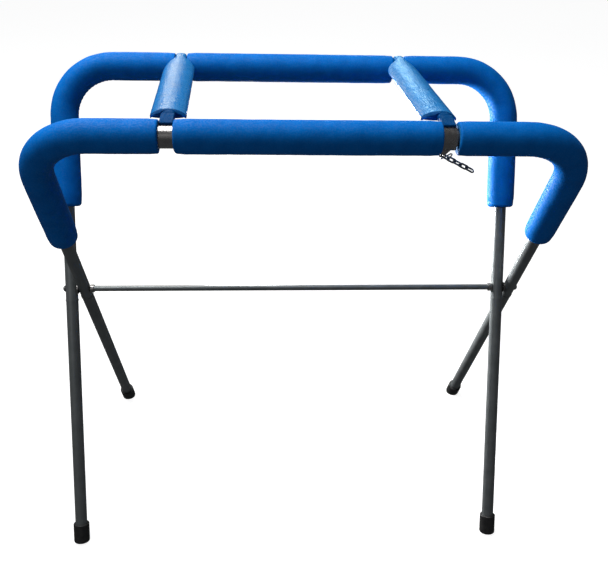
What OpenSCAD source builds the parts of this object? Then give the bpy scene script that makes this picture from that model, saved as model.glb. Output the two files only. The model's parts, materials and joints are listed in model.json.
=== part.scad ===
// Folding padded work stand.
// Two bent-tube frames cross at a pivot rod. Foam covers their top rails and corners,
// and two foam-covered chains hold the rails apart.
// X runs along the rails, Y from the front rail to the rear rail, Z is up, and the origin
// lies on the floor below the middle of the stand.

/* [Frames] */
// Distance between the two leg centre-lines of one frame
frame_w = 921; // [880:1:960]
// Height of the top rails' centre-lines above the floor
rail_h = 935; // [920:1:960]
// Lean of each frame from the vertical, in degrees
lean = 25; // [24:0.5:26]
// Distance down a leg from the rail's centre-line to the pivot
pivot_s = 461; // [455:1:465]
// Sideways distance between the two frames
frame_offset = 27.4; // [27.4:0.1:29]

/* [Tubes] */
// Outer diameter of the frame tube
tube_d = 25.4; // [25:0.1:25.4]
// Wall thickness of the frame tube
tube_wall = 1.5; // [1.2:0.1:1.6]
// Centre-line radius of the corner bends
bend_r = 101; // [92:1:106]
// Distance down a leg to the joint between the bent tube and the leg tube
lip_s = 484; // [482:1:490]
// Length of the reduced end of a leg tube inside the bent tube
spigot_len = 62; // [55:1:70]

/* [Pivot] */
// Diameter of the rod between the frames
rod_d = 12; // [11:0.5:13]
// Diameter of the rod's ends, in the legs' holes
rod_end_d = 8; // [7:0.5:8]
// Radial running clearance of the rod in the holes
rod_clearance = 0.07; // [0.04:0.01:0.1]
// Height of the domed end caps
cap_h = 5; // [4.5:0.5:6]

/* [Foam] */
// Outer diameter of the foam sleeves
foam_d = 57; // [55:0.5:58]
// Width of the gaps in the foam, where the collars sit
gap_w = 24; // [24:0.5:26]
// Distance down the front left leg at which its foam ends
front_left_foam_s = 280; // [250:1:310]
// Distance down the front right leg at which its foam ends
front_right_foam_s = 266; // [250:1:310]
// Distance down a rear leg at which its foam ends
rear_foam_s = 286; // [260:1:300]
// Distance of the front frame's left gap from that frame's middle
front_left_gap = 232; // [228:1:236]
// Distance of the front frame's right gap from that frame's middle
front_right_gap = 224; // [223:1:231]
// Extra width of the front right gap, on the side of the corner
front_right_extra = 3; // [0:1:4]
// Distance of the rear frame's left gap from that frame's middle
rear_left_gap = 218; // [214:1:222]
// Distance of the rear frame's right gap from that frame's middle
rear_right_gap = 230; // [226:1:234]

/* [Spreaders] */
// Outer diameter of the steel collars on the rails
collar_d = 38; // [36:0.5:38]
// Width of a spreader pad
pad_w = 60; // [56:1:62]
// How far the right pad's foam sits to the left of its chain
right_pad_aside = 5; // [0:0.5:7]
// Height of a pad's underside above the rail's centre-line
pad_z0 = 13; // [12.5:0.5:13.5]
// Distance from the front rail's centre-line to a pad's square end
pad_end_s = 45; // [44:0.5:52]
// Width of the narrow foam neck in front of a pad
neck_w = 22.5; // [20:0.5:22.5]
// Outer width of a chain link
link_w = 10.4; // [10.2:0.1:10.6]
// Wire diameter of a chain link
link_wire = 3.2; // [3:0.1:3.2]
// Distance from one chain link to the next
link_pitch = 12.4; // [12.4:0.05:12.5]
// Number of links in each pad
pad_links = 26; // [24:1:26]
// Number of links in the loose end of the chain
tail_links = 5; // [3:1:6]

/* [Feet] */
// Outer diameter of the rubber feet
foot_d = 34; // [32:0.5:36]
// Distance up the leg that a foot covers
foot_h = 38; // [34:1:42]

/* [Hidden] */
$fn = 64;

// Colours
tube_colour = [0.24, 0.26, 0.27];
foam_colour = [0.02, 0.33, 0.66];
rubber_colour = [0.05, 0.05, 0.05];
steel_colour = [0.35, 0.36, 0.38];
zinc_colour = [0.62, 0.64, 0.66];

// Frame geometry
rail_y = pivot_s * sin(lean);
pivot_z = rail_h - pivot_s * cos(lean);
leg_len = rail_h / cos(lean);
half_w = frame_w / 2;
shift = frame_offset / 2;
tube_id = tube_d - 2 * tube_wall;
spigot_d = tube_id - 0.2;
// The bent tube ends on a rolled lip that stands a little proud
lip_d = tube_d + 1.6;
lip_h = 3;
hole_d = rod_end_d + 2 * rod_clearance;

// Feet: rubber below the tube's end, radius of the rounded edge, and length past the floor line
foot_rubber = 14;
foot_round = 5;
foot_past = 2;

// Pivot hardware: spacer between the crossing legs, collar inside each inner leg, outer cap
spacer_d = 22;
spacer_t = frame_offset - tube_d - 0.4;
stop_d = 17;
stop_w = 7;
cap_d = 14;
cap_bore = 3;
face_gap = 0.2;

// Foam and collar clearances
foam_id = tube_d + 0.3;
collar_id = tube_d + 0.1;
collar_w = gap_w - 0.7;
moving_gap = 0.4;

// Places of the gaps in the stand's frame
front_left_x = shift - front_left_gap;
front_right_x = shift + front_right_gap;
rear_left_x = -shift - rear_left_gap;
rear_right_x = -shift + rear_right_gap;

// Spreaders, measured from the rear rail's centre-line towards the front
pad_z1 = foam_d / 2;
pad_t = pad_z1 - pad_z0;
span = 2 * rail_y;
taper_from = 82;
chain_z = (pad_z0 + pad_z1) / 2;
tunnel_w = 11;
tunnel_from = 3;
lug_s = 24;
lug_in = 5;
tunnel_to = lug_s + pad_links * link_pitch + 1.5 * link_wire + 0.6;
lug_r = 4.4;
lug_t = 2.6;
lug_hole_d = 5.2;
// The parting of the neck at the front rail: where it is at chain height, and its slope
split_s = 33;
split_slope = 2.1;
split_gap = 1.2;
hook_t = 3;

// Loose end of the chain: its swing point left of the front right collar's middle and below
// the rail's centre-line, its slant, its turn about its own length, and the lean of the wire
// hook in its first link
tail_x = front_right_x - 7.5;
tail_drop = 28;
tail_slant = 27;
tail_turn = 23;
tail_hook_lean = 45;
link_reach = (link_pitch + link_wire) / 2;

module in_front_frame() {
    translate([shift, -rail_y, rail_h]) rotate([lean, 0, 0]) children();
}

module in_rear_frame() {
    translate([-shift, rail_y, rail_h]) rotate([-lean, 0, 0]) children();
}

module ring(d_out, d_in) {
    difference() {
        circle(d = d_out);
        circle(d = d_in);
    }
}

// A round sleeve along X from x0 to x1
module sleeve(d_out, d_in, x0, x1) {
    translate([x0, 0, 0]) rotate([0, 90, 0]) linear_extrude(x1 - x0) ring(d_out, d_in);
}

// The right half of a bent run: along the rail from x0, round the corner, and down to s1
module bent_run(d_out, d_in, x0, s1) {
    corner_x = half_w - bend_r;
    sleeve(d_out, d_in, x0, corner_x);
    translate([corner_x, 0, -bend_r]) rotate([90, 0, 0])
        rotate_extrude(angle = 90) translate([bend_r, 0]) ring(d_out, d_in);
    translate([half_w, 0, -s1]) linear_extrude(s1 - bend_r) ring(d_out, d_in);
}

module cross_hole() {
    translate([-half_w - tube_d, 0, -pivot_s]) rotate([0, 90, 0])
        cylinder(d = hole_d, h = frame_w + 2 * tube_d);
}

module upper_frame() {
    color(tube_colour) difference() {
        union() {
            bent_run(tube_d, tube_id, 0, lip_s);
            mirror([1, 0, 0]) bent_run(tube_d, tube_id, 0, lip_s);
        }
        cross_hole();
    }
}

// A leg tube, with its reduced end up inside the bent tube and the pivot's hole through it
module leg(side) {
    tube_end = leg_len - foot_rubber;
    color(tube_colour) difference() {
        translate([side * half_w, 0, 0]) difference() {
            union() {
                translate([0, 0, -tube_end]) cylinder(d = tube_d, h = tube_end - lip_s);
                translate([0, 0, -lip_s - lip_h]) cylinder(d = lip_d, h = lip_h);
                translate([0, 0, -lip_s - 1]) cylinder(d = spigot_d, h = spigot_len + 1);
            }
            translate([0, 0, -tube_end - 1])
                cylinder(d = spigot_d - 2 * tube_wall, h = tube_end - lip_s + spigot_len + 2);
        }
        cross_hole();
    }
}

// A rubber foot before its underside is cut level with the floor
module foot_blank(side) {
    bottom = leg_len + foot_past;
    top = leg_len - foot_rubber - foot_h + 10;
    translate([side * half_w, 0, -bottom]) difference() {
        rotate_extrude() {
            square([foot_d / 2 - foot_round, bottom - top]);
            translate([0, foot_round]) square([foot_d / 2, bottom - top - foot_round - 2]);
            translate([0, foot_round]) square([foot_d / 2 - 2, bottom - top - foot_round]);
            translate([foot_d / 2 - foot_round, foot_round]) circle(r = foot_round);
            translate([foot_d / 2 - 2, bottom - top - 2]) circle(r = 2);
        }
        translate([0, 0, foot_past + foot_rubber]) cylinder(d = tube_d + 0.2, h = bottom);
    }
}

module above_floor() {
    translate([-frame_w, -rail_h, 0]) cube([2 * frame_w, 2 * rail_h, rail_h / 4]);
}

module front_foot(side) {
    color(rubber_colour) intersection() {
        in_front_frame() foot_blank(side);
        above_floor();
    }
}

module rear_foot(side) {
    color(rubber_colour) intersection() {
        in_rear_frame() foot_blank(side);
        above_floor();
    }
}

// Foam round one corner, from the gap in the rail's foam down to s1 on the leg
module corner_foam(gap, s1) {
    color(foam_colour) bent_run(foam_d, foam_id, gap + gap_w / 2, s1);
}

module centre_foam(left_gap, right_gap) {
    color(foam_colour) sleeve(foam_d, foam_id, -left_gap + gap_w / 2, right_gap - gap_w / 2);
}

module collar() {
    color(steel_colour) sleeve(collar_d, collar_id, -collar_w / 2, collar_w / 2);
}

// Pivot hardware, all on the line of the rod
module on_pivot(x) {
    translate([x, 0, pivot_z]) rotate([0, 90, 0]) children();
}

module pivot_rod() {
    inner_x = half_w - shift - tube_d / 2 - face_gap;
    end_x = half_w + shift + tube_d / 2 + cap_bore;
    color(zinc_colour) {
        on_pivot(-inner_x) cylinder(d = rod_d, h = 2 * inner_x);
        on_pivot(-end_x) cylinder(d = rod_end_d, h = 2 * end_x);
    }
}

module pivot_spacers() {
    color(steel_colour) for (side = [-1, 1])
        on_pivot(side * half_w - spacer_t / 2) linear_extrude(spacer_t) ring(spacer_d, hole_d);
}

module pivot_collars() {
    face_x = half_w - shift - tube_d / 2 - face_gap;
    color(steel_colour) for (side = [-1, 1])
        on_pivot(side * (face_x - stop_w / 2) - stop_w / 2) linear_extrude(stop_w) ring(stop_d, rod_d + 0.1);
}

module pivot_end_caps() {
    seat_x = half_w + shift + tube_d / 2 + face_gap;
    dome_r = (cap_h * cap_h + cap_d * cap_d / 4) / (2 * cap_h);
    color(zinc_colour) for (side = [0, 1]) mirror([side, 0, 0]) on_pivot(seat_x) difference() {
        intersection() {
            cylinder(d = cap_d, h = cap_h);
            translate([0, 0, cap_h - dome_r]) sphere(r = dome_r);
        }
        translate([0, 0, -1]) cylinder(d = rod_end_d + 0.1, h = cap_bore + 1);
    }
}

// One chain link, long along Y and flat in the XY plane
module chain_link() {
    bend = (link_w - link_wire) / 2;
    straight = link_pitch + 0.1 - 2 * (bend - link_wire / 2);
    for (side = [-1, 1]) translate([side * bend, straight / 2, 0]) rotate([90, 0, 0])
        cylinder(d = link_wire, h = straight);
    for (turn = [0, 180]) rotate([0, 0, turn]) translate([0, straight / 2, 0])
        rotate_extrude(angle = 180) translate([bend, 0]) circle(d = link_wire);
}

// A row of links along -Y, each turned a quarter from the last
module chain(count) {
    color(zinc_colour) for (i = [0 : count - 1])
        translate([0, -i * link_pitch, 0]) rotate([0, 90 * (i % 2), 0]) chain_link();
}

// Puts its children on the rear rail at rear_x, turned to face the front gap at front_x
module on_spreader(front_x, rear_x) {
    translate([rear_x, rail_y, rail_h]) rotate([0, 0, atan2(front_x - rear_x, span)]) children();
}

function split_at(z) = split_s + (z - chain_z) / split_slope;

// Side outline of the neck (part = 1) or the sleeve end on the collar (part = 0),
// as distances behind the front rail and heights above it
module neck_outline(part) {
    z0 = pad_z0;
    z1 = pad_z1 - 1.5;
    if (part == 1)
        polygon([[pad_end_s + 1, z0], [pad_end_s + 1, pad_z1], [split_at(z1) + split_gap + 4, pad_z1 - 0.5],
                 [split_at(z1) + split_gap, z1], [split_at(z0) + split_gap, z0]]);
    else
        polygon([[split_at(z0), z0], [split_at(z1), z1], [12, 24.6], [1, 23.2], [1, z0]]);
}

module neck(part, x, width) {
    translate([x - width / 2, -rail_y, rail_h]) rotate([90, 0, 90]) linear_extrude(width) neck_outline(part);
}

// A place between the neck's side and a pad's edge, as a share of the way out to the edge
function shoulder(edge, share) = sign(edge) * (neck_w / 2 + (abs(edge) - neck_w / 2) * share);

// The foam pad in its own place: flat, round-edged, narrowed towards the rear rail
module pad_body(front_x, rear_x, aside) {
    half = pad_w / 2;
    left = -half - aside;
    right = half - aside;
    front_y = -(span - pad_end_s) / cos(atan2(front_x - rear_x, span));
    on_spreader(front_x, rear_x) intersection() {
        translate([-aside, 0, chain_z]) rotate([90, 0, 0]) linear_extrude(-front_y) {
            square([pad_w - pad_t, pad_t], center = true);
            for (side = [-1, 1]) translate([side * (half - pad_t / 2), 0]) circle(d = pad_t);
        }
        translate([0, 0, pad_z0 - 1]) linear_extrude(pad_t + 2)
            polygon([[left, front_y], [right, front_y], [right, -taper_from], [shoulder(right, 0.85), -58],
                     [shoulder(right, 0.5), -28], [neck_w / 2, -12], [-neck_w / 2, -12],
                     [shoulder(left, 0.5), -28], [shoulder(left, 0.85), -58], [left, -taper_from]]);
    }
}

module pad(front_x, rear_x, aside) {
    strip_end = 5;
    strip_from = 40;
    color(foam_colour) difference() {
        union() {
            difference() {
                pad_body(front_x, rear_x, aside);
                translate([rear_x - pad_w, rail_y, rail_h])
                    sleeve(foam_d + 2 * moving_gap, tube_d, 0, 2 * pad_w);
            }
            translate([rear_x - neck_w / 2, rail_y - strip_from, rail_h + pad_z0 + 3])
                cube([neck_w, strip_from + strip_end, pad_t - 3]);
            neck(1, front_x, neck_w);
        }
        translate([rear_x - pad_w, rail_y, rail_h]) rotate([0, 90, 0])
            cylinder(d = collar_d + 0.4, h = 2 * pad_w);
        on_spreader(front_x, rear_x) translate([-tunnel_w / 2, -tunnel_to, chain_z - tunnel_w / 2])
            cube([tunnel_w, tunnel_to - tunnel_from, tunnel_w]);
    }
}

// A collar on the rear rail, with the lug that holds the chain's first link
module rear_collar(front_x, rear_x) {
    color(steel_colour) difference() {
        union() {
            translate([rear_x, rail_y, rail_h]) sleeve(collar_d, collar_id, -collar_w / 2, collar_w / 2);
            on_spreader(front_x, rear_x) translate([-lug_t / 2, -lug_s, chain_z]) {
                rotate([0, 90, 0]) cylinder(r = lug_r, h = lug_t);
                translate([0, 0, -lug_r]) cube([lug_t, lug_s - lug_in, 2 * lug_r]);
            }
        }
        translate([rear_x - pad_w, rail_y, rail_h]) rotate([0, 90, 0]) cylinder(d = collar_id, h = 2 * pad_w);
        on_spreader(front_x, rear_x) translate([-lug_t, -lug_s, chain_z])
            rotate([0, 90, 0]) cylinder(d = lug_hole_d, h = 2 * lug_t);
    }
}

module pad_chain(front_x, rear_x) {
    on_spreader(front_x, rear_x) translate([0, -lug_s - link_reach, chain_z]) chain(pad_links);
}

// The hook plate on a front collar, which the chain's last link drops over
module front_hook(x) {
    color(zinc_colour) translate([x - hook_t / 2, -rail_y, rail_h]) rotate([90, 0, 90])
        linear_extrude(hook_t) difference() {
            polygon([[6, 17.5], [14, 13], [25, 15], [27.5, 17.5], [27.5, 20.2], [25.5, 21.2], [8, 20.4]]);
            circle(d = collar_d + 0.1);
            translate([22, 19.2]) square([2.5, 3]);
        }
}

module sleeve_end(x) {
    slot_from = 5;
    color(foam_colour) difference() {
        neck(0, x, neck_w);
        translate([x - neck_w, -rail_y, rail_h]) rotate([0, 90, 0])
            cylinder(d = collar_d + 0.2, h = 2 * neck_w);
        translate([x - hook_t / 2 - 0.3, -rail_y + slot_from, rail_h + pad_z0 - 1])
            cube([hook_t + 0.6, 28 - slot_from, 9.5]);
    }
}

module front_collar(x) {
    translate([x, -rail_y, rail_h]) collar();
}

// The front right collar also has a plate below it, with an eye for the loose end of the chain
module eyed_collar(x) {
    eye_x = tail_x - x;
    plate_w = 20;
    color(steel_colour) translate([x, -rail_y, rail_h]) difference() {
        union() {
            sleeve(collar_d, collar_id, -collar_w / 2, collar_w / 2);
            translate([eye_x, lug_t / 2, -tail_drop]) rotate([90, 0, 0]) cylinder(r = lug_r, h = lug_t);
            translate([0, lug_t / 2, 0]) rotate([90, 0, 0]) linear_extrude(lug_t)
                polygon([[-plate_w / 2, -tail_drop], [eye_x + lug_r, -tail_drop - 2], [plate_w / 2, -tail_drop + 11],
                         [plate_w / 2, -14], [-plate_w / 2, -14]]);
        }
        translate([eye_x, lug_t, -tail_drop]) rotate([90, 0, 0]) cylinder(d = lug_hole_d, h = 2 * lug_t);
    }
}

// Puts its children at the tail's swing point, with -Y pointing down the slanted chain
module on_tail() {
    translate([tail_x, -rail_y, rail_h - tail_drop]) rotate([0, tail_slant, 0])
        rotate([0, 0, 90]) children();
}

module rear_upper_frame() {
    in_rear_frame() upper_frame();
}

module rear_left_leg() {
    in_rear_frame() leg(-1);
}

module rear_right_leg() {
    in_rear_frame() leg(1);
}

module rear_left_foot() {
    rear_foot(-1);
}

module rear_right_foot() {
    rear_foot(1);
}

module rear_left_foam() {
    in_rear_frame() mirror([1, 0, 0]) corner_foam(rear_left_gap, rear_foam_s);
}

module rear_centre_foam() {
    in_rear_frame() centre_foam(rear_left_gap, rear_right_gap);
}

module rear_right_foam() {
    in_rear_frame() corner_foam(rear_right_gap, rear_foam_s);
}

module front_upper_frame() {
    in_front_frame() upper_frame();
}

module front_left_leg() {
    in_front_frame() leg(-1);
}

module front_right_leg() {
    in_front_frame() leg(1);
}

module front_left_foot() {
    front_foot(-1);
}

module front_right_foot() {
    front_foot(1);
}

module front_left_foam() {
    in_front_frame() mirror([1, 0, 0]) corner_foam(front_left_gap, front_left_foam_s);
}

module front_centre_foam() {
    in_front_frame() centre_foam(front_left_gap, front_right_gap);
}

module front_right_foam() {
    in_front_frame() corner_foam(front_right_gap + front_right_extra, front_right_foam_s);
}

module front_left_collar() {
    front_collar(front_left_x);
}

module front_right_collar() {
    eyed_collar(front_right_x);
}

module front_left_hook() {
    front_hook(front_left_x);
}

module front_right_hook() {
    front_hook(front_right_x);
}

module front_left_sleeve_end() {
    sleeve_end(front_left_x);
}

module front_right_sleeve_end() {
    sleeve_end(front_right_x);
}

module rear_left_collar() {
    rear_collar(front_left_x, rear_left_x);
}

module left_pad() {
    pad(front_left_x, rear_left_x, 0);
}

module left_chain() {
    pad_chain(front_left_x, rear_left_x);
}

module rear_right_collar() {
    rear_collar(front_right_x, rear_right_x);
}

module right_pad() {
    pad(front_right_x, rear_right_x, right_pad_aside);
}

module right_chain() {
    pad_chain(front_right_x, rear_right_x);
}

// An S-shaped wire hook through the tail's first link
module tail_hook() {
    wire = 2.4;
    bend = 3.5;
    up = 10;
    down = 6;
    color(zinc_colour) on_tail() rotate([0, -tail_turn, 0]) translate([0, -link_reach, 0])
        rotate([tail_hook_lean - tail_slant, 0, 0]) rotate([0, 0, -90]) {
            translate([0, 0, -down]) cylinder(d = wire, h = up + down);
            translate([0, -bend, up]) rotate([90, 0, 90])
                rotate_extrude(angle = 180) translate([bend, 0]) circle(d = wire);
            translate([0, bend, -down]) rotate([90, 0, 90]) rotate([0, 0, 180])
                rotate_extrude(angle = 180) translate([bend, 0]) circle(d = wire);
        }
}

module chain_tail() {
    on_tail() rotate([0, -tail_turn, 0]) translate([0, -link_reach, 0]) chain(tail_links);
}

rear_upper_frame();
rear_left_leg();
rear_right_leg();
rear_left_foot();
rear_right_foot();
rear_left_foam();
rear_centre_foam();
rear_right_foam();
pivot_rod();
pivot_spacers();
pivot_collars();
pivot_end_caps();
front_upper_frame();
front_left_leg();
front_right_leg();
front_left_foot();
front_right_foot();
front_left_foam();
front_centre_foam();
front_right_foam();
front_left_collar();
front_right_collar();
front_left_hook();
front_right_hook();
front_left_sleeve_end();
front_right_sleeve_end();
rear_left_collar();
left_pad();
left_chain();
rear_right_collar();
right_pad();
right_chain();
tail_hook();
chain_tail();
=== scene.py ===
import json
import math
from collections import namedtuple

import bmesh
import bpy
from mathutils import Matrix, Vector, noise


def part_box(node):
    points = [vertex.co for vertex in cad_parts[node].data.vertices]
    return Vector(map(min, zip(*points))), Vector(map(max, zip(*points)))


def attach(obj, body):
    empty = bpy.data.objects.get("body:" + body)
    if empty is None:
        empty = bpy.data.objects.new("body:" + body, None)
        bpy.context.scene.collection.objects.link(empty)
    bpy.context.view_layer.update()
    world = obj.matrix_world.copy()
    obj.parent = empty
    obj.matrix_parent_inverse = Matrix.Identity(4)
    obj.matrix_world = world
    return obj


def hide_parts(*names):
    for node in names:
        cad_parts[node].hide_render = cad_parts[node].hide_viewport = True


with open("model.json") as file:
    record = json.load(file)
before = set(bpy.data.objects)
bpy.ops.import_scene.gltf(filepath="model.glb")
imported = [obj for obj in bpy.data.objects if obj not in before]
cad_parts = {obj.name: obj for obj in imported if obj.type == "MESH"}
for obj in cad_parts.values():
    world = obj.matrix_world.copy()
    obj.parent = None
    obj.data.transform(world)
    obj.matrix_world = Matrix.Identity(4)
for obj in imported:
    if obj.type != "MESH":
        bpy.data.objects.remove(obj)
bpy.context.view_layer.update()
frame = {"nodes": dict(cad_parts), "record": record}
nodes = frame["nodes"]
record = frame["record"]
body_of_node = {n: body for body, names in record["behaviour"]["bodies"].items() for n in names}
MM = 0.001

# ---------------------------------------------------------------- driving dimensions
BEND_R = 101 * MM         # centre-line radius of a frame's corner
BORE_R = 12.85 * MM       # bore of a foam sleeve
SKIN = 0.3 * MM           # how far a smooth sleeve stays inside the CAD foam, to leave room for its lumps
LUMP = 0.35 * MM          # height of the foam's slow lumps
LUMP_SIZE = 34 * MM       # width of a slow lump
GRAIN = 0.16 * MM         # height of the foam's small lumps
GRAIN_SIZE = 9 * MM       # width of a small lump
STEP = 4 * MM             # distance between the rings of a sleeve
AROUND = 72               # points round a sleeve
PAD_AROUND = 64           # points round a pad
RING_ANGLES = [2 * math.pi * j / AROUND for j in range(AROUND)]


def centre(node):
    lo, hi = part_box(node)
    return (lo + hi) / 2


def size(node):
    lo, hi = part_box(node)
    return hi - lo


# ---------------------------------------------------------------- what the frame says
FOAM_R = size("front_centre_foam").z / 2
RAIL_H = centre("front_centre_foam").z
RAIL_Y = centre("rear_centre_foam").y
MOUNTS = {m["name"]: Vector(m["pos_m"]) for m in record["mounts"]}


class StandFrame:
    """One bent frame: where it is, and the way from its own axes to the stand's."""

    def __init__(self, name, side):
        left = MOUNTS[f"{name}_left_foot_rest"]
        right = MOUNTS[f"{name}_right_foot_rest"]
        self.rail_y = side * RAIL_Y
        self.half_w = (right.x - left.x) / 2
        self.middle = (right.x + left.x) / 2
        self.lean = math.atan2(abs(left.y - self.rail_y), RAIL_H)
        turn = Matrix.Rotation(-side * self.lean, 4, "X")
        self.place = Matrix.Translation((self.middle, self.rail_y, RAIL_H)) @ turn

    def gap_edge(self, node, high):
        lo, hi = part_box(node)
        return (hi.x if high else lo.x) - self.middle

    def foam_end(self, node):
        """How far down a leg its foam goes, from the rail's centre-line."""
        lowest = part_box(node)[0].z
        return (RAIL_H - lowest - FOAM_R * math.sin(self.lean)) / math.cos(self.lean)


FRAMES = {"front": StandFrame("front", -1), "rear": StandFrame("rear", 1)}


# ---------------------------------------------------------------- mesh helpers
def new_object(name, mesh):
    ob = bpy.data.objects.new(name, mesh)
    bpy.context.scene.collection.objects.link(ob)
    return ob


def mesh_from(bm, name):
    mesh = bpy.data.meshes.new(name)
    bm.to_mesh(mesh)
    bm.free()
    return mesh


def grid_object(name, rings, closed_rings, cap_ends=False):
    """A mesh through rings of equally many points; closed_rings joins the last ring to the first."""
    bm = bmesh.new()
    made = [[bm.verts.new(p) for p in ring] for ring in rings]
    count = len(made[0])
    last = len(made) if closed_rings else len(made) - 1
    for i in range(last):
        a = made[i]
        b = made[(i + 1) % len(made)]
        for j in range(count):
            k = (j + 1) % count
            bm.faces.new((a[j], a[k], b[k], b[j]))
    if cap_ends:
        bm.faces.new(made[0])
        bm.faces.new(made[-1])
    bmesh.ops.recalc_face_normals(bm, faces=bm.faces)
    ob = new_object(name, mesh_from(bm, name))
    for face in ob.data.polygons:
        face.use_smooth = True
    return ob


def apply_modifiers(ob):
    depsgraph = bpy.context.evaluated_depsgraph_get()
    mesh = bpy.data.meshes.new_from_object(ob.evaluated_get(depsgraph))
    ob.modifiers.clear()
    ob.data = mesh


def cut(ob, *cutters):
    """Takes the closed meshes cutters out of ob."""
    for cutter in cutters:
        boolean = ob.modifiers.new("cut", "BOOLEAN")
        boolean.operation = "DIFFERENCE"
        boolean.solver = "EXACT"
        boolean.object = cutter
    apply_modifiers(ob)
    for cutter in cutters:
        bpy.data.objects.remove(cutter)


def smooth_noise(p, scale):
    return noise.noise(p * (1 / scale))


def ease(t):
    """0 up to t = 0, 1 from t = 1 on, and smooth between."""
    t = min(max(t, 0.0), 1.0)
    return t * t * (3 - 2 * t)


# ---------------------------------------------------------------- materials
# Noise scales, in patterns to a metre
SHADE_SCALE = 45
WEAR_SCALE = 130
FLECK_SCALE = 380
PORE_SCALE = 900
CELL_SCALE = 850
PATCH_SCALE = 35
GLOSS_SCALE = 220
METAL_GRAIN_SCALE = 1400
DUST_SCALE = 120
FLOOR_SCALE = 0.6

PORE_DEPTH = 0.12 * MM
CELL_DEPTH = 0.3 * MM
RUBBER_GRAIN = 0.15 * MM


def new_material(name):
    mat = bpy.data.materials.new(name)
    mat.use_nodes = True
    tree = mat.node_tree
    shader = tree.nodes["Principled BSDF"]
    coords = tree.nodes.new("ShaderNodeTexCoord")
    return mat, tree, shader, coords.outputs["Object"]


def noise_node(tree, coords, scale, detail=3.0, rough=0.5):
    node = tree.nodes.new("ShaderNodeTexNoise")
    node.inputs["Scale"].default_value = scale
    node.inputs["Detail"].default_value = detail
    node.inputs["Roughness"].default_value = rough
    tree.links.new(coords, node.inputs["Vector"])
    return node.outputs["Fac"]


def ramp_node(tree, value, low, high, start=0.3, end=0.7):
    node = tree.nodes.new("ShaderNodeValToRGB")
    node.color_ramp.elements[0].position = start
    node.color_ramp.elements[1].position = end
    node.color_ramp.elements[0].color = (*low, 1)
    node.color_ramp.elements[1].color = (*high, 1)
    tree.links.new(value, node.inputs["Fac"])
    return node.outputs["Color"]


def range_node(tree, value, low, high, start=0.3, end=0.7):
    node = tree.nodes.new("ShaderNodeMapRange")
    node.inputs["From Min"].default_value = start
    node.inputs["From Max"].default_value = end
    node.inputs["To Min"].default_value = low
    node.inputs["To Max"].default_value = high
    tree.links.new(value, node.inputs["Value"])
    return node.outputs["Result"]


def bump_chain(tree, shader, *steps):
    """Bumps one over another: each step is (height, distance in metres, strength)."""
    normal = None
    for height, distance, strength in steps:
        node = tree.nodes.new("ShaderNodeBump")
        node.inputs["Strength"].default_value = strength
        node.inputs["Distance"].default_value = distance
        tree.links.new(height, node.inputs["Height"])
        if normal is not None:
            tree.links.new(normal, node.inputs["Normal"])
        normal = node.outputs["Normal"]
    tree.links.new(normal, shader.inputs["Normal"])


def foam_material(name, low, high, rough, gloss, lumps, lump_scale):
    """The closed skin of blue foam: slow change of shade, fine pores, soft lumps and flecks of gloss."""
    mat, tree, shader, coords = new_material(name)
    shade = noise_node(tree, coords, SHADE_SCALE, 4)
    colour = ramp_node(tree, shade, low, high)
    tree.links.new(colour, shader.inputs["Base Color"])
    wear = noise_node(tree, coords, WEAR_SCALE, 5)
    tree.links.new(range_node(tree, wear, rough - 0.07, rough + 0.09), shader.inputs["Roughness"])
    flecks = noise_node(tree, coords, FLECK_SCALE, 2, 0.6)
    fleck_gloss = range_node(tree, flecks, gloss * 0.2, gloss * 2.2, 0.45, 0.58)
    tree.links.new(fleck_gloss, shader.inputs["Specular IOR Level"])
    pores = noise_node(tree, coords, PORE_SCALE, 3, 0.6)
    soft = noise_node(tree, coords, lump_scale, 3)
    bump_chain(tree, shader, (soft, lumps, 0.6), (pores, PORE_DEPTH, 0.5))
    return mat


def cut_foam_material():
    """A cut end of the foam, where the cells show."""
    mat, tree, shader, coords = new_material("foam_cut_face")
    cells = tree.nodes.new("ShaderNodeTexVoronoi")
    cells.inputs["Scale"].default_value = CELL_SCALE
    tree.links.new(coords, cells.inputs["Vector"])
    depth = cells.outputs["Distance"]
    colour = ramp_node(tree, depth, (0.004, 0.210, 0.56), (0.003, 0.150, 0.44), 0.1, 0.7)
    tree.links.new(colour, shader.inputs["Base Color"])
    shader.inputs["Roughness"].default_value = 0.85
    shader.inputs["Specular IOR Level"].default_value = 0.25
    bump_chain(tree, shader, (depth, CELL_DEPTH, 0.6))
    return mat


def metal_material(name, low, high, metallic, rough, spread, grain):
    """Metal with patches of slightly different shade and gloss, and a fine grain."""
    mat, tree, shader, coords = new_material(name)
    patches = noise_node(tree, coords, PATCH_SCALE, 5)
    tree.links.new(ramp_node(tree, patches, low, high), shader.inputs["Base Color"])
    shader.inputs["Metallic"].default_value = metallic
    gloss = noise_node(tree, coords, GLOSS_SCALE, 4)
    tree.links.new(range_node(tree, gloss, rough - spread, rough + spread), shader.inputs["Roughness"])
    fine = noise_node(tree, coords, METAL_GRAIN_SCALE, 2)
    bump_chain(tree, shader, (fine, grain, 0.4))
    return mat


def rubber_material():
    """Black rubber with a little dust on it."""
    mat, tree, shader, coords = new_material("foot_rubber")
    dust = noise_node(tree, coords, DUST_SCALE, 5)
    colour = ramp_node(tree, dust, (0.010, 0.010, 0.011), (0.030, 0.029, 0.028), 0.4, 0.8)
    tree.links.new(colour, shader.inputs["Base Color"])
    tree.links.new(range_node(tree, dust, 0.5, 0.72), shader.inputs["Roughness"])
    fine = noise_node(tree, coords, PORE_SCALE, 3)
    bump_chain(tree, shader, (fine, RUBBER_GRAIN, 0.5))
    return mat


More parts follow.
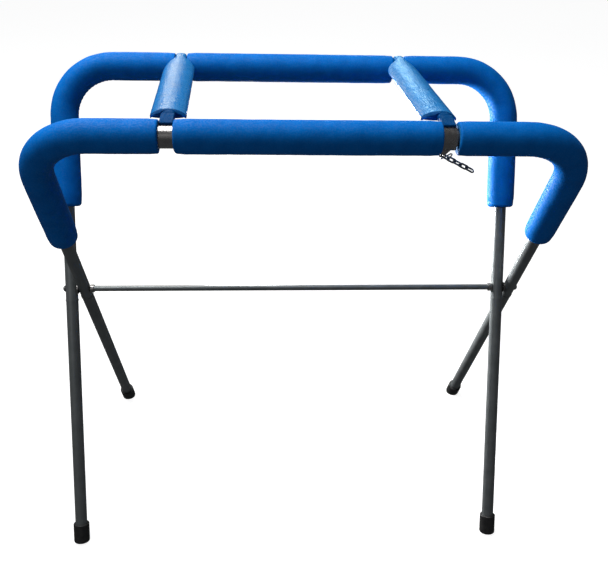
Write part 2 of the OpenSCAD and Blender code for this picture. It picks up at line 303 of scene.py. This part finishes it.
def floor_material():
    """The plain floor and wall, which glow a little so that they stay even and pale."""
    mat, tree, shader, coords = new_material("studio_floor")
    soft = noise_node(tree, coords, FLOOR_SCALE, 2)
    colour = ramp_node(tree, soft, (0.38, 0.38, 0.38), (0.40, 0.40, 0.40))
    tree.links.new(colour, shader.inputs["Base Color"])
    shader.inputs["Emission Color"].default_value = (1, 1, 1, 1)
    shader.inputs["Emission Strength"].default_value = 0.92
    shader.inputs["Roughness"].default_value = 0.9
    shader.inputs["Specular IOR Level"].default_value = 0.1
    return mat


FOAM = foam_material("foam_skin", (0.0008, 0.138, 0.52), (0.0016, 0.168, 0.61),
                     rough=0.55, gloss=0.07, lumps=0.35 * MM, lump_scale=170)
PAD_FOAM = foam_material("pad_foam_skin", (0.0006, 0.145, 0.42), (0.0012, 0.185, 0.51),
                         rough=0.34, gloss=0.46, lumps=1.2 * MM, lump_scale=360)
# The neck's foam is the same foam painted much darker: painted shade, standing in for the shade on the
# steep necks and the sleeve ends
NECK_SHADE_FOAM = foam_material("neck_foam_painted_shade", (0.0003, 0.045, 0.160), (0.0006, 0.060, 0.205),
                          rough=0.62, gloss=0.05, lumps=0.5 * MM, lump_scale=260)
CUT_FOAM = cut_foam_material()
MATERIAL_OF_SLOT = {
    "frame_paint": metal_material("frame_paint", (0.165, 0.18, 0.185), (0.215, 0.232, 0.235),
                                  metallic=0.55, rough=0.40, spread=0.06, grain=0.03 * MM),
    "foot_rubber": rubber_material(),
    "collar_steel": metal_material("collar_steel", (0.29, 0.28, 0.275), (0.40, 0.385, 0.38),
                                   metallic=1.0, rough=0.28, spread=0.05, grain=0.01 * MM),
    "zinc_steel": metal_material("zinc_steel", (0.46, 0.47, 0.48), (0.60, 0.61, 0.62),
                                 metallic=1.0, rough=0.33, spread=0.08, grain=0.03 * MM),
    "chain_steel": metal_material("chain_steel", (0.14, 0.15, 0.15), (0.34, 0.35, 0.35),
                                  metallic=1.0, rough=0.36, spread=0.10, grain=0.04 * MM),
}


# ---------------------------------------------------------------- foam sleeves
# The rounding of a sleeve's end, how much it narrows, and how far it is cut back at the bottom
EndShape = namedtuple("EndShape", "edge_r taper cut_back")

EDGE_STEPS = 6            # steps round the edge of a sleeve's end
CUT_ROWS = 3              # rows of faces on a sleeve's cut end
EDGE_DEPTH = 4 * MM       # radius lost beyond which a sleeve has no lumps
TAPER_LEN = 16 * MM       # length over which a sleeve's end narrows
CUT_REACH = 18 * MM       # length over which an end that is cut back draws the rings along
BORE_LIP = 2.5 * MM       # distance of the bore's first ring from a sleeve's end
BORE_STEP = 5 * MM        # distance between the bore's rings
CORNER_FADE = 25 * MM     # how far on each side of a corner's ends its wrinkles fade
WRINKLE = 0.45 * MM       # height of the wrinkles inside a corner
WRINKLE_SINK = 0.2 * MM   # how far the inside of a corner sinks
WRINKLE_PITCH = 11 * MM
WRINKLE_WANDER = 26 * MM  # distance over which the wrinkles drift
STRETCH = 0.9 * MM        # how much thinner the foam is outside a corner


def rail_point(half_w, s):
    """Centre and outward direction at a distance s along the right half of a frame's run.

    s is measured from the frame's middle, along the rail, round the corner and down the leg.
    """
    straight = half_w - BEND_R
    arc = BEND_R * math.pi / 2
    if s <= straight:
        return Vector((s, 0, 0)), Vector((0, 0, 1))
    if s >= straight + arc:
        return Vector((half_w, 0, -BEND_R - (s - straight - arc))), Vector((1, 0, 0))
    angle = (s - straight) / BEND_R
    out = Vector((math.sin(angle), 0, math.cos(angle)))
    return Vector((straight, 0, -BEND_R)) + out * BEND_R, out


def bend_share(half_w, s):
    """1 in the middle of the corner and 0 away from it."""
    straight = half_w - BEND_R
    arc = BEND_R * math.pi / 2
    fade = 2 * CORNER_FADE
    return ease((s - straight + CORNER_FADE) / fade) * ease((straight + arc + CORNER_FADE - s) / fade)


def end_rows(at, sign, shape):
    """(s, radius lost) from the bore out over a cut end and round its edge."""
    wall = FOAM_R - BORE_R
    rows = [(0.8 * MM, wall - 0.2 * MM), (0.2 * MM, wall * 0.7), (0.0, wall * 0.42)]
    for k in range(EDGE_STEPS + 1):
        angle = k / EDGE_STEPS * math.pi / 2
        rows.append((shape.edge_r * (1 - math.cos(angle)),
                     shape.edge_r * (1 - math.sin(angle)) + shape.taper))
    return [(at + sign * d, loss) for d, loss in rows]


def sleeve_rows(s0, s1, start, end):
    """(s, radius lost) along a sleeve's outside, with both of its ends."""
    first = end_rows(s0, 1, start)
    last = end_rows(s1, -1, end)
    body = []
    s = first[-1][0] + STEP
    while s < last[-1][0] - STEP * 0.5:
        start_loss = start.taper * (1 - ease((s - s0 - start.edge_r) / TAPER_LEN))
        end_loss = end.taper * (1 - ease((s1 - end.edge_r - s) / TAPER_LEN))
        body.append((s, start_loss + end_loss))
        s += STEP
    return first + body + last[::-1]


def bore_rows(s0, s1):
    """Where the bore's rings lie, from the end at s1 back to the one at s0."""
    rows = [s1 - BORE_LIP]
    while rows[-1] - BORE_STEP > s0 + BORE_LIP:
        rows.append(rows[-1] - BORE_STEP)
    return rows + [s0 + BORE_LIP]


def skin_radius(s, loss, angle, bend, spot, seed):
    """A sleeve's radius at a spot: lumps all over, wrinkles inside a corner, thinner foam outside."""
    inner = max(0.0, -math.cos(angle)) ** 1.5
    outer = max(0.0, math.cos(angle)) ** 2
    deep = min(1.0, max(0.0, 1 - loss / EDGE_DEPTH))
    wave = math.sin(2 * math.pi * s / WRINKLE_PITCH + 2.0 * smooth_noise(spot + seed, WRINKLE_WANDER))
    r = FOAM_R - SKIN - loss
    r += deep * LUMP * smooth_noise(spot + seed, LUMP_SIZE)
    r += deep * GRAIN * smooth_noise(spot + seed * 2, GRAIN_SIZE)
    r += deep * bend * (inner * (WRINKLE * wave - WRINKLE_SINK) - outer * STRETCH)
    return max(r, BORE_R)


def foam_sleeve(name, stand, mirror, s0, s1, start, end):
    """A sleeve from s0 to s1 along a frame, with an EndShape for each end."""
    seed = Vector((len(name) * 0.37, stand.rail_y * 3, -0.2 if mirror else 0.3))

    def spoke(s, angle):
        """Middle and direction of a point round the sleeve, drawn along below an end that is cut back."""
        near_start = 1 - ease((s - s0) / CUT_REACH)
        near_end = 1 - ease((s1 - s) / CUT_REACH)
        shift = near_start * start.cut_back - near_end * end.cut_back
        under = max(0.0, -math.cos(angle))
        at = s + shift * under * under
        middle, out = rail_point(stand.half_w, abs(at))
        if at < 0:
            middle.x = -middle.x
        return middle, out * math.cos(angle) + Vector((0, 1, 0)) * math.sin(angle)

    rows = sleeve_rows(s0, s1, start, end)
    rings = []
    for s, loss in rows:
        bend = bend_share(stand.half_w, abs(s))
        ring = []
        for angle in RING_ANGLES:
            middle, way = spoke(s, angle)
            spot = middle + way * (FOAM_R - SKIN - loss)
            ring.append(middle + way * skin_radius(s, loss, angle, bend, spot, seed))
        rings.append(ring)
    for s in bore_rows(s0, s1):
        spokes = [spoke(s, angle) for angle in RING_ANGLES]
        rings.append([middle + way * BORE_R for middle, way in spokes])
    flip = Matrix.Scale(-1, 4, (1, 0, 0)) if mirror else Matrix.Identity(4)
    place = stand.place @ flip
    ob = grid_object(name, [[place @ p for p in ring] for ring in rings], closed_rings=True)
    ob.data.materials.append(FOAM)
    ob.data.materials.append(CUT_FOAM)
    for i, face in enumerate(ob.data.polygons):
        row = i // AROUND
        if row < CUT_ROWS or len(rows) - 1 - CUT_ROWS <= row:
            face.material_index = 1
    return ob


def finish_foam(ob, node):
    """Lets a soft piece stand for its CAD node and move with it."""
    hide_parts(node)
    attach(ob, body_of_node[node])


LEG_END = EndShape(edge_r=7 * MM, taper=1.2 * MM, cut_back=0.0)
GAP_CUTS = {  # cut back at the bottom of each gap: (sleeve on the left, sleeve on the right)
    ("front", "left"): (1.5 * MM, 5.5 * MM),
    ("front", "right"): (2.0 * MM, 1.5 * MM),
    ("rear", "left"): (2.5 * MM, 1.5 * MM),
    ("rear", "right"): (1.5 * MM, 2.5 * MM),
}


def gap_end(cut_back):
    return EndShape(3.2 * MM, 0.9 * MM, cut_back)


for which, stand in FRAMES.items():
    run = stand.half_w - BEND_R + BEND_R * math.pi / 2
    left_cuts = GAP_CUTS[which, "left"]
    right_cuts = GAP_CUTS[which, "right"]
    centre_node = f"{which}_centre_foam"
    centre_lo = stand.gap_edge(centre_node, high=False)
    centre_hi = stand.gap_edge(centre_node, high=True)
    piece = foam_sleeve(f"{which}_centre_sleeve", stand, False, centre_lo, centre_hi,
                        gap_end(left_cuts[1]), gap_end(right_cuts[0]))
    finish_foam(piece, centre_node)
    for side in ("left", "right"):
        node = f"{which}_{side}_foam"
        mirror = side == "left"
        edge = -stand.gap_edge(node, high=True) if mirror else stand.gap_edge(node, high=False)
        cut_back = left_cuts[0] if mirror else right_cuts[1]
        last = run + stand.foam_end(node) - BEND_R
        piece = foam_sleeve(f"{which}_{side}_sleeve", stand, mirror, edge, last,
                            gap_end(cut_back), LEG_END)
        finish_foam(piece, node)


# ---------------------------------------------------------------- pads
PadRow = namedtuple("PadRow", "s wide inset low high crown lumps slanted", defaults=(0.0, False))
# s is the distance from the rear rail, or from the parting where slanted. wide goes from 0, the neck's
# width, to 1, the pad's. inset is taken off each side. low and high are heights from the rail's
# centre-line, crown is how far the sides drop below the middle, and lumps is the share of the lumps.

PAD_HALF = 29.8 * MM       # half a pad's width
PAD_ASIDE = {"left": 0.0, "right": 5 * MM}  # how far a pad's foam sits to the left of its chain
PAD_END = 45 * MM          # distance of a pad's square end from the front rail's centre-line
PAD_BACK = 4.7 * MM        # how far a pad goes on behind the rear rail's centre-line
PAD_STEP = 3 * MM          # distance between the rings of a pad
PAD_FULL_AT = 82 * MM      # distance from the rear rail at which a pad has its full width
PAD_NARROW_AT = 26 * MM    # and where it has narrowed to the strip over the collar
FLAT_CROWN = 0.4           # how far the narrow part's sides drop, in mm
PAD_CROWN = 6.5            # and how much more at a pad's full width
PAD_LUMP = 0.45 * MM       # height of a pad's slow lumps
PAD_GRAIN = 0.35 * MM      # height of its small lumps
PAD_SWAY = 0.3 * MM        # how far its sides wander
SWAY_FADE = 6 * MM         # distance from the middle at which they wander fully
NOSE = 10 * MM             # length of the rounded front end of a pad
NOSE_FACE = 4 * MM         # height of the part of the end that stays upright
NOSE_DROP = 0.8            # how much of the height above that the rounding takes away
NECK_HALF = 11.1 * MM      # half the neck's width
NECK_TOP_DROP = 1.5 * MM   # how far the neck's top falls towards the front
NECK_SHADE_FROM = 7 * MM    # how far behind the pad's end the neck's painted shade starts, a darker foam colour that stands in for the shade on the neck
SPLIT_MID = 34.6 * MM      # distance of the neck's parting from the front rail, at the chain's height
SPLIT_SLOPE = 2.1          # how steep the parting is
TUNNEL = 5.5 * MM          # half the width of the room for the chain
COLLAR_PLAY = 0.2 * MM     # room between a rear collar and the pad
CHAIN_PLAY = 0.6 * MM      # room beyond the chain's front end
PAD_SHARP = math.radians(48)  # edges of a pad bent more than this stay sharp
CUT_FACE_Y = -0.8          # faces that look more to the front than this are cut ends
# Rounded ends: (mm in from the end, mm lost all round)
REAR_ROUNDING = ((0.0, 2.2), (0.6, 1.0), (2.2, 0.0))
FRONT_ROUNDING = ((9.0, 0.0), (7.5, 0.0), (6.0, 0.0), (4.5, 0.0), (3.2, 0.0), (1.6, 0.35), (0.6, 1.1),
                  (0.1, 2.2))
PARTING_ROUNDING = ((1.2, 0.0), (0.4, 0.35), (0.0, 0.9))


def box_cutter(name, lo, hi, place):
    """A box from lo to hi in the axes of place."""
    bm = bmesh.new()
    bmesh.ops.create_cube(bm, size=1)
    middle = (lo + hi) / 2
    extent = hi - lo
    for v in bm.verts:
        v.co = place @ (Vector(v.co[i] * extent[i] for i in range(3)) + middle)
    bmesh.ops.recalc_face_normals(bm, faces=bm.faces)
    return new_object(name, mesh_from(bm, name))


def bar_cutter(name, middle, radius, length):
    """A round bar along X."""
    bm = bmesh.new()
    bmesh.ops.create_cone(bm, cap_ends=True, segments=96, radius1=radius, radius2=radius, depth=length)
    place = Matrix.Translation(middle) @ Matrix.Rotation(math.pi / 2, 4, "Y")
    bmesh.ops.transform(bm, matrix=place, verts=bm.verts)
    return new_object(name, mesh_from(bm, name))


def pad_section(low, high, crown, j):
    """Point j of a pad's section, flat below and crowned on top: x from -1 to 1, and z."""
    angle = 2 * math.pi * j / PAD_AROUND
    c = math.cos(angle)
    s = math.sin(angle)
    mid = (low + high) / 2
    x = math.copysign(abs(c) ** 0.62, c)
    if s >= 0:
        z = mid + (high - mid) * abs(s) ** 0.72 - crown * abs(x) ** 2
    else:
        z = mid - (mid - low) * abs(s) ** 0.45
    return x, z


def pad_rows(bottom, top, pad_end):
    """A pad's rings, from behind the rear collar to the parting in its neck."""
    rows = []
    for inset, shrink in REAR_ROUNDING:
        rows.append(PadRow(inset * MM - PAD_BACK, 0, shrink * MM, bottom + shrink * MM,
                           top - (shrink + 0.3) * MM, FLAT_CROWN * MM, 0.2))
    s = 1 * MM
    while s < pad_end - NOSE:
        t = min(max((s - PAD_NARROW_AT) / (PAD_FULL_AT - PAD_NARROW_AT), 0.0), 1.0)
        wide = math.sqrt(1 - (1 - t) ** 2)
        rows.append(PadRow(s, wide, 0, bottom + 0.2 * MM, top, (FLAT_CROWN + PAD_CROWN * wide) * MM,
                           0.3 + 0.7 * wide))
        s += PAD_STEP
    for inset, shrink in FRONT_ROUNDING:
        rows.append(PadRow(pad_end - inset * MM, 1, shrink * MM, bottom + (0.2 + shrink) * MM,
                           top - 0.3 * shrink * MM, (FLAT_CROWN + PAD_CROWN) * MM, 0.7))
    rows.append(PadRow(pad_end, 1, 6 * MM, bottom + 3.2 * MM, top - 0.7 * MM, 4.0 * MM))
    rows.append(PadRow(pad_end + 0.05 * MM, 0, 0, bottom + 0.6 * MM, top - 0.7 * MM, 0.8 * MM))
    rows.append(PadRow(pad_end + 1.5 * MM, 0, 0.2 * MM, bottom + 0.2 * MM, top - 0.4 * MM, 0.8 * MM, 0.2))
    rows.append(PadRow(pad_end + 5 * MM, 0, 0, bottom + 0.1 * MM, top - 0.6 * MM, 0.7 * MM, 0.3))
    for inset, shrink in PARTING_ROUNDING:
        rows.append(PadRow(inset * MM, 0, shrink * MM, bottom + (0.1 + shrink) * MM,
                           top - NECK_TOP_DROP - shrink * MM, 0.6 * MM, 0.1, True))
    return rows


def roughened(p, row, x, z, seed):
    """A point of a pad with its lumps, which stay below the top of the rails' foam."""
    up = 1.0 if z > (row.low + row.high) / 2 else 0.3
    rough = PAD_LUMP * smooth_noise(p + seed, 24 * MM) + PAD_GRAIN * smooth_noise(p + seed, 7 * MM)
    p.z = min(p.z + row.lumps * up * rough, RAIL_H + FOAM_R + 0.3 * MM)
    p.x += row.lumps * PAD_SWAY * smooth_noise(p - seed, 12 * MM) * max(-1.0, min(1.0, x / SWAY_FADE))
    return p


def spreader_pad(side):
    """A pad from the rear collar to the parting in its neck, with room for the collar and the chain."""
    node = f"{side}_pad"
    front_x = centre("front_right_hook" if side == "right" else "front_left_collar").x
    rear_lo, rear_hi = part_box(f"rear_{side}_collar")
    rear_x = rear_lo.x + size("front_left_collar").x / 2
    span = 2 * RAIL_Y
    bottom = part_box(node)[0].z - RAIL_H
    top = FOAM_R - 0.2 * MM
    aside = PAD_ASIDE[side]
    out_left = PAD_HALF + aside - NECK_HALF
    out_right = PAD_HALF - aside - NECK_HALF
    pad_end = span - PAD_END
    chain_z = (bottom + FOAM_R) / 2
    seed = Vector((0.7, 0.1, 0.4)) if side == "left" else Vector((0.2, 0.9, 0.5))
    rings = []
    for row in pad_rows(bottom, top, pad_end):
        ring = []
        for j in range(PAD_AROUND):
            x, z = pad_section(row.low, row.high, row.crown, j)
            x *= NECK_HALF - row.inset + row.wide * (out_right if x > 0 else out_left)
            if row.wide == 1 and row.s > pad_end - NOSE and z > row.low + NOSE_FACE:
                t = (row.s - pad_end + NOSE) / NOSE
                beside = ease((abs(x) - 0.7 * NECK_HALF) / (0.8 * NECK_HALF))
                z -= (z - row.low - NOSE_FACE) * beside * NOSE_DROP * (1 - math.sqrt(1 - t * t))
            at = row.s
            mid_x = rear_x + (front_x - rear_x) * row.s / span
            if row.slanted:
                at = span - (SPLIT_MID + (z - chain_z) / SPLIT_SLOPE + row.s)
            if row.slanted or (row.s >= pad_end and row.wide == 0):
                mid_x = front_x
            p = Vector((mid_x + x, RAIL_Y - at, RAIL_H + z))
            ring.append(roughened(p, row, x, z, seed))
        rings.append(ring)
    ob = grid_object(f"{side}_spreader_pad", rings, closed_rings=False, cap_ends=True)
    angle = math.atan2(front_x - rear_x, span)
    place = Matrix.Translation((rear_x, RAIL_Y, RAIL_H)) @ Matrix.Rotation(angle, 4, "Z")
    tunnel_end = (RAIL_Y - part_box(f"{side}_chain")[0].y) / math.cos(angle) + CHAIN_PLAY
    collar_room = rear_hi.y - RAIL_Y + COLLAR_PLAY
    cut(ob,
        bar_cutter("collar_room", Vector((rear_x, RAIL_Y, RAIL_H)), collar_room, length=120 * MM),
        box_cutter("chain_room", Vector((-TUNNEL, -tunnel_end, chain_z - TUNNEL)),
                   Vector((TUNNEL, -3 * MM, chain_z + TUNNEL)), place))
    ob.data.materials.clear()
    for material in (PAD_FOAM, CUT_FOAM, NECK_SHADE_FOAM):
        ob.data.materials.append(material)
    # Faces of the neck, towards the front, take the darker foam colour of painted shade
    neck_y = RAIL_Y - pad_end + NECK_SHADE_FROM
    for face in ob.data.polygons:
        if face.normal.y < CUT_FACE_Y:
            face.material_index = 1
        else:
            face.material_index = 2 if face.center.y < neck_y else 0
        face.use_smooth = True
    ob.data.set_sharp_from_angle(angle=PAD_SHARP)
    finish_foam(ob, node)


for side in ("left", "right"):
    spreader_pad(side)


END_VOXEL = 0.8 * MM       # size of the grid that softens a sleeve end
END_LUMP = 0.15 * MM       # height of its lumps
END_ROUNDS = 5             # rounds of smoothing


def sleeve_end(side):
    """The foam end left on a front collar, softened from its CAD solid and coloured with the neck's
    painted shade.
    """
    node = f"front_{side}_sleeve_end"
    ob = new_object(f"front_{side}_neck_end", nodes[node].data.copy())
    remesh = ob.modifiers.new("remesh", "REMESH")
    remesh.mode = "VOXEL"
    remesh.voxel_size = END_VOXEL
    apply_modifiers(ob)
    bm = bmesh.new()
    bm.from_mesh(ob.data)
    for _ in range(END_ROUNDS):
        bmesh.ops.smooth_vert(bm, verts=bm.verts, factor=0.5,
                              use_axis_x=True, use_axis_y=True, use_axis_z=True)
    for v in bm.verts:
        v.co += v.normal * END_LUMP * smooth_noise(v.co, 6 * MM)
    bm.to_mesh(ob.data)
    bm.free()
    ob.data.materials.clear()
    ob.data.materials.append(NECK_SHADE_FOAM)
    for face in ob.data.polygons:
        face.material_index = 0
        face.use_smooth = True
    finish_foam(ob, node)


for side in ("left", "right"):
    sleeve_end(side)


# ---------------------------------------------------------------- carried-over CAD nodes
SLOT_OF_NODE = {p["node"]: p["material_slot"] for p in record["subparts"]}
BEVELLED = {"collar_steel": 0.7 * MM, "zinc_steel": 0.4 * MM}  # width of the bevel
HARD_SHARP = math.radians(35)  # edges of a hard piece bent more than this stay sharp
BEVEL_FROM = math.radians(50)  # and those bent more than this are bevelled
SLIVER = 0.01 * MM         # edges of the domed caps shorter than this are closed up

for name, ob in nodes.items():
    slot = SLOT_OF_NODE[name]
    if slot == "foam_blue":
        continue
    ob.data.materials.clear()
    ob.data.materials.append(MATERIAL_OF_SLOT[slot])
    for face in ob.data.polygons:
        face.material_index = 0
        face.use_smooth = True
    ob.data.set_sharp_from_angle(angle=HARD_SHARP)
    if name == "pivot_end_caps":
        ob.modifiers.new("close_up", "WELD").merge_threshold = SLIVER
    if slot in BEVELLED:
        bevel = ob.modifiers.new("edges", "BEVEL")
        bevel.width = BEVELLED[slot]
        bevel.segments = 3
        bevel.limit_method = "ANGLE"
        bevel.angle_limit = BEVEL_FROM
        bevel.harden_normals = True


# ---------------------------------------------------------------- studio
def studio_floor():
    """A pale floor that curves up into a pale wall all round, far from the stand."""
    flat = 7.0
    curve = 3.0
    wall = 9.0
    below = 0.4 * MM  # keeps the feet's undersides off the floor's own plane
    turns = 8
    outline = [(0.0, 0.0), (flat, 0.0)]
    for k in range(1, turns + 1):
        angle = k / turns * math.pi / 2
        outline.append((flat + curve * math.sin(angle), curve * (1 - math.cos(angle))))
    outline.append((flat + curve, wall))
    bm = bmesh.new()
    verts = [bm.verts.new((r, 0, z - below)) for r, z in outline]
    edges = [bm.edges.new(pair) for pair in zip(verts, verts[1:])]
    bmesh.ops.spin(bm, geom=verts + edges, cent=(0, 0, 0), axis=(0, 0, 1), angle=2 * math.pi, steps=96,
                   use_merge=True)
    bmesh.ops.remove_doubles(bm, verts=bm.verts, dist=0.01 * MM)
    bmesh.ops.recalc_face_normals(bm, faces=bm.faces)
    bmesh.ops.reverse_faces(bm, faces=bm.faces)
    floor = new_object("studio_floor", mesh_from(bm, "studio_floor"))
    for face in floor.data.polygons:
        face.use_smooth = True
    floor.data.materials.append(floor_material())
    floor.visible_diffuse = False
    floor.visible_glossy = False
    floor.visible_shadow = False


def soft_light(name, place, target, width, height, watts, colour=(1, 1, 1), spread=180):
    """A rectangular lamp of a width and height in metres, which the camera doesn't see."""
    data = bpy.data.lights.new(name, "AREA")
    data.shape = "RECTANGLE"
    data.size = width
    data.size_y = height
    data.energy = watts
    data.spread = math.radians(spread)
    data.color = colour
    ob = bpy.data.objects.new(name, data)
    bpy.context.scene.collection.objects.link(ob)
    ob.location = place
    ob.rotation_euler = (Vector(target) - Vector(place)).to_track_quat("-Z", "Y").to_euler()
    ob.visible_camera = False


def studio_camera():
    """A camera in front of the stand, above it and slightly left, looking down at it."""
    place = Vector((-0.0593, -1.2754, 1.3543))
    down = math.radians(32.69)
    right = math.radians(3.62)
    roll = math.radians(1.75)
    forward = Vector((math.sin(right) * math.cos(down), math.cos(right) * math.cos(down), -math.sin(down)))
    across = Vector((math.cos(right), -math.sin(right), 0))
    up = across.cross(forward)
    turned_across = across * math.cos(roll) + up * math.sin(roll)
    turned_up = up * math.cos(roll) - across * math.sin(roll)
    data = bpy.data.cameras.new("camera")
    data.sensor_width = 36
    data.lens = 41.67
    data.clip_end = 60
    camera = bpy.data.objects.new("camera", data)
    bpy.context.scene.collection.objects.link(camera)
    axes = Matrix((turned_across, turned_up, -forward)).transposed()
    camera.matrix_world = Matrix.Translation(place) @ axes.to_4x4()
    bpy.context.scene.camera = camera


def studio_world():
    """A weak, slightly blue light from all round."""
    world = bpy.data.worlds.new("studio")
    bpy.context.scene.world = world
    world.use_nodes = True
    background = world.node_tree.nodes["Background"]
    background.inputs["Color"].default_value = (0.93, 0.96, 1.0, 1)
    background.inputs["Strength"].default_value = 0.09


studio_floor()
studio_camera()
studio_world()
# The two windows stand behind the stand, low enough to put a sheen on the pads' flat tops
soft_light("back_left_window", (-0.75, 2.6, 1.78), (0, 0, 0.95), 0.6, 0.7, watts=9,
           colour=(1.0, 0.96, 0.74))
soft_light("back_right_window", (0.36, 1.5, 1.36), (0.40, 0, 0.93), 0.3, 0.4, watts=0.24,
           colour=(0.55, 0.86, 1.0), spread=40)
soft_light("top_softbox", (-0.9, 0.5, 2.9), (0, 0, 0.4), 1.8, 1.8, watts=80)
soft_light("front_fill", (-1.6, -2.4, 2.2), (0, 0, 0.6), 2.0, 2.0, watts=7)
# Below the pads, so that it lights the right-hand legs and foam from the inside only
soft_light("leg_light", (-0.12, 0.55, 0.55), (0.46, 0.0, 0.58), 0.3, 0.4, watts=11, spread=110)
bpy.context.scene.view_settings.view_transform = "Standard"

bpy.context.view_layer.update()
